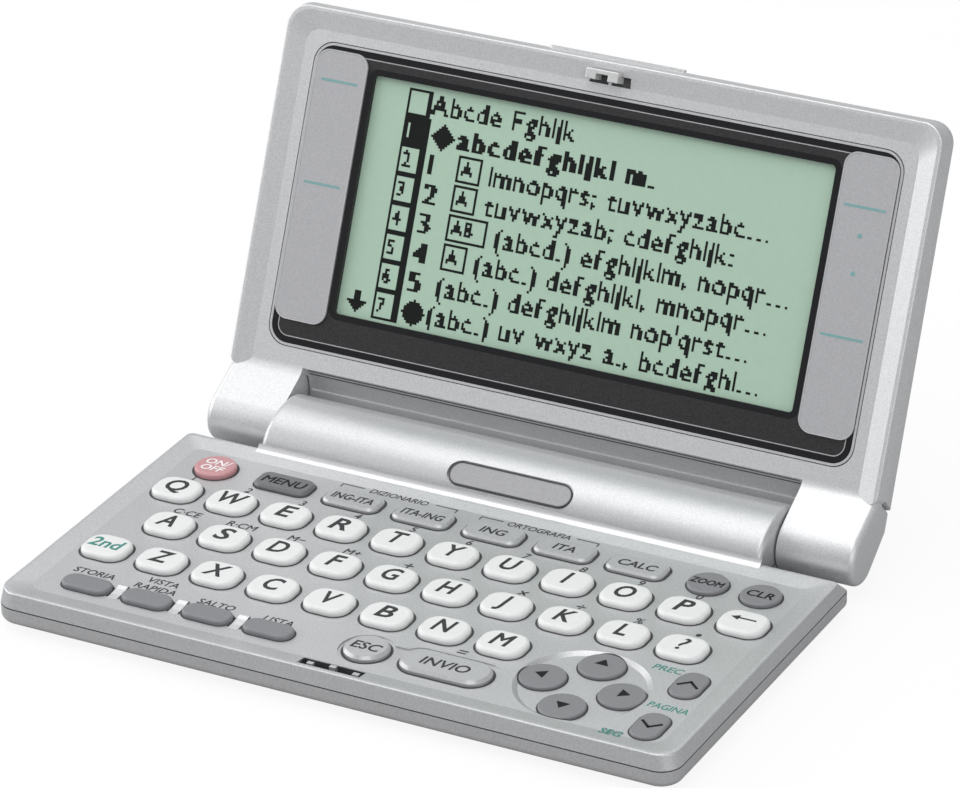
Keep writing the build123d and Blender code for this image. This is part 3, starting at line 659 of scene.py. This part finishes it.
# %% [markdown]
# ## Words with brackets
# Behind the function keys two words name the keys below them, each between the arms of a bracket. The
# arms are lines of one width with a short bend down, mirrored left and right of the word.

# %% Words with brackets over the function keys
groups = {"DIZIONARIO": (-18.7, 61.35), "ORTOGRAFIA": (9.5, 61.1)}
group_height, group_stretch = 1.6, 0.92
arm_start, arm_end, arm_level, arm_foot, arm_width = 7.4, 11.6, 0.2, -0.8, 0.22
bracket_ink = {**deck_ink, "weight": 0.02}
for word, (x, y) in groups.items():
    name = word.lower()
    printed(f"sign_{name}", word, (x, y, 0), group_height, stretch=group_stretch, **bracket_ink)
    arms = []
    for side in (-1, 1):
        arm = [(side * arm_start, arm_level), (side * arm_end, arm_level), (side * arm_end, arm_foot)]
        arms += stroke(arm, arm_width)
    slab(f"bracket_{name}", arms, (0.0, 0.04), grey_ink, "case", middle=(x, y))
print("groups with brackets:", len(groups))

# %% [markdown]
# ## The wells of the keys
# Round every key is a narrow gap, dark with shade, and that fine dark line is what makes a keyboard look
# assembled instead of painted on. The shade is painted: a dark ring lies on the deck round each key,
# from the key's outline taken from its own mesh and moved outwards a little. A ray dropped on the deck
# beside it gives the level, because some keys stand in a dish or a bed.

# %% The deck as a target for rays, and a ring of painted shade round one key
deck_cover = frame["nodes"]["deck_cover"]
to_deck = deck_matrix.inverted() @ deck_cover.matrix_world
deck_tree = BVHTree.FromPolygons(
    [to_deck @ vertex.co for vertex in deck_cover.data.vertices],
    [tuple(face.vertices) for face in deck_cover.data.polygons],
)
rim_start, rim_lift = 0.04, 0.03
ray_height, down = 20, Vector((0, 0, -1))


def well_rim(name, cap, rim_end):
    """A ring of painted shade on the deck round one cap."""
    flat = [Vector(place) for place in {(round(point.x, 3), round(point.y, 3)) for point in cap}]
    hull = [flat[index] for index in convex_hull_2d(flat)]
    if sum(one.cross(other) for one, other in zip(hull, hull[1:] + hull[:1])) < 0:
        hull.reverse()
    outlines = []
    for grow in (rim_start, rim_end):
        outline = []
        for before, point, after in zip(hull[-1:] + hull[:-1], hull, hull[1:] + hull[:1]):
            along = (after - before).normalized()
            outline.append(point + grow * Vector((along.y, -along.x)))
        outlines.append(outline)
    points = []
    for outline in outlines:
        for beside, point in zip(outlines[1], outline):
            hit = deck_tree.ray_cast(Vector((beside.x, beside.y, ray_height)), down)[0]
            points.append((point.x, point.y, hit.z + rim_lift))
    faces = [tuple(reversed(face)) for face in walls(len(hull), 2)]
    shape(name, points, faces, shade_and_joint_dark, "case")


print("faces of the deck:", len(deck_cover.data.polygons))

# %% A line of painted shade round every key
wide_rim, narrow_rim = 0.46, 0.28
key_nodes = [node for node in frame["nodes"] if node.startswith("key_") or node in strips]
key_nodes.remove("key_sheet")
all_caps = [(node, cap) for node in key_nodes for cap in caps(node)]
for count, (node, cap) in enumerate(all_caps):
    dark = finishes.get(node) in (grey_key, dark_key)
    well_rim(f"well_{node}_{count}", cap, narrow_rim if dark else wide_rim)
print("wells:", len(all_caps))

# %% [markdown]
# ## Bright sweeps in the deck
# Where the barrel meets the deck the plastic is swept, and a sweep in silver paint catches a bright
# line. The same happens between the four long keys in front. Both are made as narrow curved strips,
# laid on the CAD surface, because a sharp corner has no such line. The strips are a lighter silver than
# the deck: a real curve, with a painted highlight in its colour. The sweep along the barrel is a
# quadratic curve: it leaves the deck along the line to its corner point and ends on the barrel.

# %% The sweep along the barrel
sweep_start, sweep_corner = Vector((0, 64.5, 0.44)), Vector((0, 65.68, 0.60))
sweep_end = Vector((0, 66.08, 1.52))
sweep_half, sweep_steps = 50.3, 8
points, faces = [], []
for step in range(sweep_steps + 1):
    share = step / sweep_steps
    spot = (1 - share) ** 2 * sweep_start + 2 * share * (1 - share) * sweep_corner + share**2 * sweep_end
    points += [(-sweep_half, spot.y, spot.z), (sweep_half, spot.y, spot.z)]
    if step:
        last = 2 * step
        faces.append((last - 2, last - 1, last + 1, last))
# The sweep's lighter silver is a painted highlight.
shape("barrel_sweep", points, faces, painted_highlight, "case")
print("faces of the sweep:", len(faces))

# %% The strips between the long keys
soft_caps = [cap_middle(cap) for cap in caps("soft_keys")]
soft_clear = 0.35
ridge = [(-2.0, 0.02), (-0.5, 0.06), (1.2, 0.26), (2.2, 0.46), (2.5, 0.40), (2.8, 0.02)]
faces = [(2 * step, 2 * step + 1, 2 * step + 3, 2 * step + 2) for step in range(len(ridge) - 1)]
for count, (one, other) in enumerate(zip(soft_caps, soft_caps[1:])):
    left, right = one.x + soft_width / 2 + soft_clear, other.x - soft_width / 2 - soft_clear
    points = [(x, one.y + y, z) for y, z in ridge for x in (left, right)]
    # The strips' lighter silver is a painted highlight.
    shape(f"soft_sweep_{count}", points, faces, painted_highlight, "case")
print("strips between long keys:", len(soft_caps) - 1)

# %% [markdown]
# ## Badge
# The barrel has a shallow bed for a badge, which is left bare here: a grey plate with a rim that stands
# a little higher. The rim is dark with painted shade, the shadow that falls in the bed round the plate.
# A matrix of its own lays both on the barrel's slope, so that they can be drawn flat.

# %% The badge plate
badge_wide, badge_high, badge_corner, badge_shade_rim, badge_steps = 24.5, 4.7, 2.34, 0.3, 12
badge_bed, badge_face, badge_crest = -0.55, -0.22, -0.14
badge_place = Matrix.Translation((0, 68.01, 3.852))
badge_matrix = deck_matrix @ badge_place @ Matrix.Rotation(radians(37.4), 4, "X")
outer = rounded(badge_wide, badge_high, badge_corner, badge_steps)
inner = rounded(badge_wide - 2 * badge_shade_rim, badge_high - 2 * badge_shade_rim, badge_corner - badge_shade_rim,
                badge_steps)
slab("badge_plate", [inner], (badge_bed, badge_face), badge_grey, "case", badge_matrix)
# The rim is dark with painted shade.
band("badge_shade_rim", outer, inner, (badge_bed, badge_crest), shade_and_joint_dark, "case", badge_matrix)
print("badge, mm:", badge_wide, "x", badge_high)

# %% [markdown]
# ## Latch
# The latch slot and the two holes above it are dark inside, since little light gets in. A paint can't be
# darker inside a slot by itself, so thin dark linings lie on its walls and floor. The floor is split in
# four, because the three teeth stand on it.

# %% Inside the latch slot and the holes of the lid
slot_wide, slot_deep, slot_middle = 12.0, 2.6, (0.3, 2.4)
slot_floor_level, slot_skin = -1.18, 0.06
slot = rounded(slot_wide - slot_skin, slot_deep - slot_skin, 0.1, 1)
slot_in = rounded(slot_wide - 2 * slot_skin, slot_deep - 2 * slot_skin, 0.1, 1)
band("slot_walls", slot, slot_in, (slot_floor_level, -0.05), shade_and_joint_dark, "case", middle=slot_middle)
between_teeth = [(-5.65, -4.95), (-3.25, -0.55), (1.15, 3.85), (5.55, 6.25)]
slot_front, slot_back = 1.15, 3.65
floors = [[(low, slot_front), (high, slot_front), (high, slot_back), (low, slot_back)]
          for low, high in between_teeth]
slab("slot_floor", floors, (-1.19, -1.15), shade_and_joint_dark, "case")
holes, hole_front, hole_back = ((-3.45, 0.25), (0.95, 4.65)), 2.30, 4.05
for count, (low, high) in enumerate(holes):
    hole = [(low, hole_front), (low, hole_back), (high, hole_back), (high, hole_front)]
    slab(f"hole_floor_{count}", [hole], (3.0, 2.0), shade_and_joint_dark, "lid", lid_matrix)
print("dark linings:", 2 + len(holes))

# %% [markdown]
# ## Hinge channel
# Under the lid the barrel turns in a channel whose section is part of an ellipse. It has a ledge, whose
# lighter silver is a painted highlight, and two fine lines, where the lid's two shells meet. All three
# are strips along the channel, so one helper takes the two turns round the ellipse between which a strip
# lies.

# %% The ledge and lines in the hinge channel
channel_back, channel_high, channel_half = 11.45, 7.05, 49.5


def channel_strip(name, turns, lift, finish):
    """A strip along the hinge channel, between two turns of its ellipse in degrees."""
    points = []
    for turn, out in ((turns[0], 0.0), (turns[0], lift), (turns[1], lift), (turns[1], 0.0)):
        y = front_to_hinge - (channel_back - out) * cos(radians(turn))
        z = (channel_high - out) * sin(radians(turn))
        points += [(-channel_half, y, z), (channel_half, y, z)]
    faces = [(0, 1, 3, 2), (2, 3, 5, 4), (4, 5, 7, 6)]
    shape(name, points, faces, finish, "lid", lid_matrix)


# The ledge's lighter silver is a painted highlight.
channel_strip("channel_ledge", (50, 62), 0.30, painted_highlight)
channel_strip("channel_line_low", (19, 21), 0.06, shade_and_joint_dark)
channel_strip("channel_line_high", (26, 27.5), 0.06, shade_and_joint_dark)
print("length of a strip, mm:", 2 * channel_half)

# %% [markdown]
# ## Panel
# The panel is a printed black sheet. It has a moulded edge, drawn as a ring of lighter silver that is a
# painted highlight, a glossy border inside that, and a glossy frame round the display, so three
# different blacks meet. Each ring follows the panel's edge at an inset, and one helper makes them all,
# so their corners stay parallel.

# %% Trims of the panel
panel_wide, panel_high, panel_corner, least_corner = 117.4, 56.2, 4.0, 0.4


def panel_band(name, inset, width, levels, finish):
    """A ring that follows the panel's edge, at an inset from it."""
    outlines = []
    for grow in (inset, inset + width):
        corner = max(least_corner, panel_corner - grow)
        outlines.append(rounded(panel_wide - 2 * grow, panel_high - 2 * grow, corner))
    band(name, *outlines, levels, finish, "lid", panel_matrix)


# The edge ring is a painted highlight.
panel_band("panel_edge", 0.06, 0.45, (0.0, 0.14), painted_highlight)
panel_band("panel_gloss", 0.51, 1.10, (0.0, 0.05), gloss_black)
panel_band("panel_line", 1.75, 0.16, (0.0, 0.03), plate_grey)

window_wide, window_high, window_y = 92.0, 44.1, 1.6
window_clear, window_border = 0.02, 1.1
outlines = []
for grow, corner in ((window_border, 1.9), (window_clear, 0.9)):
    outlines.append(rounded(window_wide + 2 * grow, window_high + 2 * grow, corner))
band("window_frame", *outlines, (0.0, 0.05), gloss_black, "lid", panel_matrix, (0, window_y))
print("window, mm:", window_wide, "x", window_high)

# %% [markdown]
# ## Side plates
# The two grey plates beside the display are bare here, with a painted highlight along the edge, a ring
# of lighter silver, and plain teal rules and dots where the real ones carry print. The rules are lines
# of one width, made like the brackets.

# %% Trims of the side plates
plate_x, plate_y, plate_wide, plate_long, plate_top = 52.75, 1.78, 10.6, 50.1, 0.35
plate_corner, plate_clear, plate_edge, edge_height = 2.6, 0.02, 0.2, 0.06
outlines = []
for grow in (plate_clear, plate_clear + plate_edge):
    outlines.append(rounded(plate_wide - 2 * grow, plate_long - 2 * grow, plate_corner - grow))
for side, name in ((-1, "left"), (1, "right")):
    # The edge rings are a painted highlight.
    band(f"plate_edge_{name}", *outlines, (plate_top, plate_top + edge_height), painted_highlight, "lid",
         panel_matrix, (side * plate_x, plate_y))
print("side plates, mm:", plate_wide, "x", plate_long)

# %% Rules and dots on the side plates
teal_rule = plastic("teal_rule", (0.20, 0.38, 0.38), 0.50, 0.05, 2000.0, 0.0)
rule_width, spot_radius = 0.46, 0.45
rule_levels = (plate_top, plate_top + 0.04)
rules = {"left": [(21.2, 7.0), (2.2, 7.0)], "right": [(17.4, 7.6), (-5.6, 7.6)]}
for name, lines in rules.items():
    x = plate_x if name == "right" else -plate_x
    outlines = []
    for y, length in lines:
        outlines += stroke([(x - length / 2, y), (x + length / 2, y)], rule_width)
    slab(f"plate_rules_{name}", outlines, rule_levels, teal_rule, "lid", panel_matrix)
turns = [turn * pi / 6 for turn in range(12)]
spot = [(plate_x + spot_radius * cos(turn), spot_radius * sin(turn)) for turn in turns]
spots = [[(x, y + height) for x, y in spot] for height in (12.4, 5.7)]
slab("plate_spots", spots, rule_levels, teal_rule, "lid", panel_matrix)
print("rules on the plates:", sum(len(lines) for lines in rules.values()))

# %% [markdown]
# ## What the display shows
# The display is a grid of small square dots, and letters on it are stepped, so the screen is filled dot
# by dot. Each sign is made as a text object for a moment, and rays are dropped on it at every dot of the
# grid: where enough rays hit, the dot is dark. An image texture would be quicker to make, but it would
# show no real edges and would blur from near.

# %% Turn one sign into dots
around_dot = ((0, 0), (0.3, 0.3), (-0.3, 0.3), (0.3, -0.3), (-0.3, -0.3))
enough_hits = 2


def dot_glyph(sign, height, stretch):
    """The dots of one sign, counted from the left end of its base line, and its width."""
    data = bpy.data.curves.new("type", "FONT")
    data.body = sign
    data.size = height / capital_share
    typed = bpy.data.objects.new("type", data)
    bpy.context.collection.objects.link(typed)
    bpy.context.view_layer.update()
    made = typed.evaluated_get(bpy.context.evaluated_depsgraph_get())
    mesh = made.to_mesh()
    left = min(vertex.co.x for vertex in mesh.vertices)
    corners = [Vector(((vertex.co.x - left) * stretch, vertex.co.y, 0)) for vertex in mesh.vertices]
    tree = BVHTree.FromPolygons(corners, [tuple(face.vertices) for face in mesh.polygons])
    made.to_mesh_clear()
    bpy.data.objects.remove(typed)
    bpy.data.curves.remove(data)
    hits = set()
    for x in range(int(max(corner.x for corner in corners)) + 1):
        for y in range(-4, int(height) + 3):
            found = 0
            for side, rise in around_dot:
                ray = tree.ray_cast(Vector((x + 0.5 + side, y + 0.5 + rise, 5)), down)
                found += ray[0] is not None
            if found >= enough_hits:
                hits.add((x, -1 - y))
    return hits, 1 + max(x for x, y in hits)


print("rays for a dot:", len(around_dot))

# %% [markdown]
# ### Type, boxes and marks
# A line of type is set sign by sign, with one dot between signs, and each glyph is worked out only once.
# Bold type is the same glyph set twice, one dot apart, as such displays do. All dots that are dark go
# into one set, so that a box or a mark can overlap type, and clear type can be cut out of a dark box.

# %% Helpers that fill the set of dark dots
type_height, number_height, tag_height, narrow_type = 8.6, 6.6, 6.2, 0.9
space_dots = 4
dark_dots = set()
glyphs = {}


def dot_type(words, column, row, height=type_height, stretch=1.0, bold=False, clear=False):
    """Set or clear the dots of a line of type, which stands on a row."""
    for sign in words:
        if sign == " ":
            column += space_dots
            continue
        key = (sign, height, stretch)
        if key not in glyphs:
            glyphs[key] = dot_glyph(*key)
        hits, wide = glyphs[key]
        if bold:
            hits = hits | {(x + 1, y) for x, y in hits}
        placed = {(column + x, row + y) for x, y in hits}
        if clear:
            dark_dots.difference_update(placed)
        else:
            dark_dots.update(placed)
        column += wide + (2 if bold else 1)


def dot_box(column, row, wide, high, shade=0):
    """The outline of a box, with a thicker right side if it has a shade."""
    for x in range(wide + shade):
        for y in range(high):
            if x in (0, *range(wide - 1, wide + shade)) or y in (0, high - 1):
                dark_dots.add((column + x, row + y))


def dot_mark(column, row, blunt):
    """A solid diamond round a dot. A blunt one has its sides filled out."""
    reach, blunt_square = 5, 21
    for x in range(-reach, reach + 1):
        for y in range(-reach, reach + 1):
            if abs(x) + abs(y) <= reach or blunt and x * x + y * y <= blunt_square:
                dark_dots.add((column + x, row + y))


print("height of type, dots:", type_height)

# %% [markdown]
# ### The page
# The page is a list: a title, a chosen first line in bold, and numbered lines with a boxed tag. The
# wording is plain runs of the alphabet in the layout of the real page. On the left each line has a
# small numbered box, and an arrow below says that the list goes on.

# %% Set the page
dot_columns, dot_rows, line_rows = 200, 96, 12
box_column, text_column, box_wide = 13, 27, 10
type_lines = [
    "Abcde Fghijk", "abcdefghijkl m.", "lmnopqrs; tuvwxyzabc…", "tuvwxyzab; cdefghijk:",
    "(abcd.) efghijklm, nopqr…", "(abc.) defghijkl, mnopqr…", "(abc.) defghijklm nop'qrst…",
    "(abc.) uv wxyz a., bcdefghi…",
]
title, chosen, tagged, last_line = 0, 1, range(2, 6), 7
for line, words in enumerate(type_lines):
    top = line * line_rows
    foot = top + 10
    if line == title:
        dot_box(box_column, top + 1, box_wide, 11, 1)
        dot_type(words, text_column - 3, foot)
        continue
    dot_box(box_column, top, box_wide, line_rows, 2)
    if line == chosen:
        dark_dots.update((box_column + x, top + y) for x in range(12) for y in range(line_rows))
    dot_type(str(line), box_column + 2, top + 9, number_height, narrow_type, clear=line == chosen)
    if line in (chosen, last_line):
        dot_mark(text_column + 4, top + 6, blunt=line == last_line)
        dot_type(words, text_column + 11, foot, bold=line == chosen)
        continue
    dot_type(str(line - 1), text_column, foot, bold=True)
    after = text_column + 13
    if line in tagged:
        tag, tag_wide = ("AB", 18) if line == 4 else ("A", 11)
        dot_box(after, top, tag_wide, 11)
        dot_type(tag, after + 2, top + 8, tag_height, narrow_type)
        after += tag_wide + 4
    dot_type(words, after, foot)
print("signs that were made:", len(glyphs))

# %% The arrow below the page, and its edges
arrow_column, arrow_row, arrow_high, head_row = 5, 86, 9, 4
for x in range(-4, 5):
    for y in range(arrow_high):
        if abs(x) <= 1 and y <= head_row or y >= head_row and abs(x) < arrow_high - y:
            dark_dots.add((arrow_column + x, arrow_row + y))
dark_dots = {(x, y) for x, y in dark_dots if 0 <= x < dot_columns and 0 <= y < dot_rows}
print("dark dots:", len(dark_dots), "of", dot_columns * dot_rows)

# %% [markdown]
# ### The dots as a mesh
# Every dark dot becomes one square, and all squares go into a single mesh just in front of the glass.
# Thousands of separate objects would be slow to load and to move with the lid.

# %% Build the dots as one mesh
display_dark = plastic("display_dark", (0.008, 0.010, 0.009), 0.60, 0.1, 1500.0, 0.0)
dull(display_dark)
dot, dots_level = 0.448, -0.97
left = -dot_columns * dot / 2
top = window_y + dot_rows * dot / 2
points, faces = [], []
for x, y in sorted(dark_dots):
    low_x, high_y = left + x * dot, top - y * dot
    start = len(points)
    points += [(low_x, high_y - dot, dots_level), (low_x + dot, high_y - dot, dots_level)]
    points += [(low_x + dot, high_y, dots_level), (low_x, high_y, dots_level)]
    faces.append((start, start + 1, start + 2, start + 3))
shape("display_dots", points, faces, display_dark, "lid", panel_matrix)
print("display dots:", len(faces))

# %% [markdown]
# ## Underneath
# The bottom is seldom seen, but it is where the machine is opened: the battery door has ribs for a
# thumb, and each screw has a cross in its head. The ribs are small raised shapes; the cross is a flat
# dark shape, painted shade for the shadow in the recess of the head. They look down, so their outlines
# run the other way round and their second level is the lower one.

# %% Grip ribs on the battery door
door_low, door_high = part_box("battery_cover")
door_low, door_high = deck_matrix.inverted() @ door_low, deck_matrix.inverted() @ door_high
rib_count, rib_start, rib_step, rib_half, rib_reach = 6, -3.0, 1.2, 0.3, 2.5
y = (door_low.y + door_high.y) / 2
near, far = y - rib_reach, y + rib_reach
ribs = []
for step in range(rib_count):
    x = rib_start + rib_step * step
    ribs.append([(x - rib_half, far), (x + rib_half, far), (x + rib_half, near), (x - rib_half, near)])
slab("door_ribs", ribs, (door_low.z + 0.01, door_low.z - 0.25), silver_floor, "battery_door")
print("ribs:", len(ribs))

# %% Crosses in the screw heads
screws = frame["nodes"]["case_screws"]
to_deck = deck_matrix.inverted() @ screws.matrix_world
case_middle_y, cross_half, cross_width = 30, 0.8, 0.36
heads = {}
for vertex in screws.data.vertices:
    spot = to_deck @ vertex.co
    heads.setdefault((spot.x > 0, spot.y > case_middle_y), []).append(spot)
crosses = []
for spots in heads.values():
    head = cap_middle(spots)
    level = min(spot.z for spot in spots)
    for x, y in ((cross_half, 0), (0, cross_half)):
        bar = [(head.x - x, head.y - y), (head.x + x, head.y + y)]
        crosses += [list(reversed(outline)) for outline in stroke(bar, cross_width)]
# The crosses are painted shade, a dark stand-in for the recess in each head.
slab("screw_crosses", crosses, (level + 0.01, level - 0.03), shade_and_joint_dark, "case")
print("screws:", len(heads))
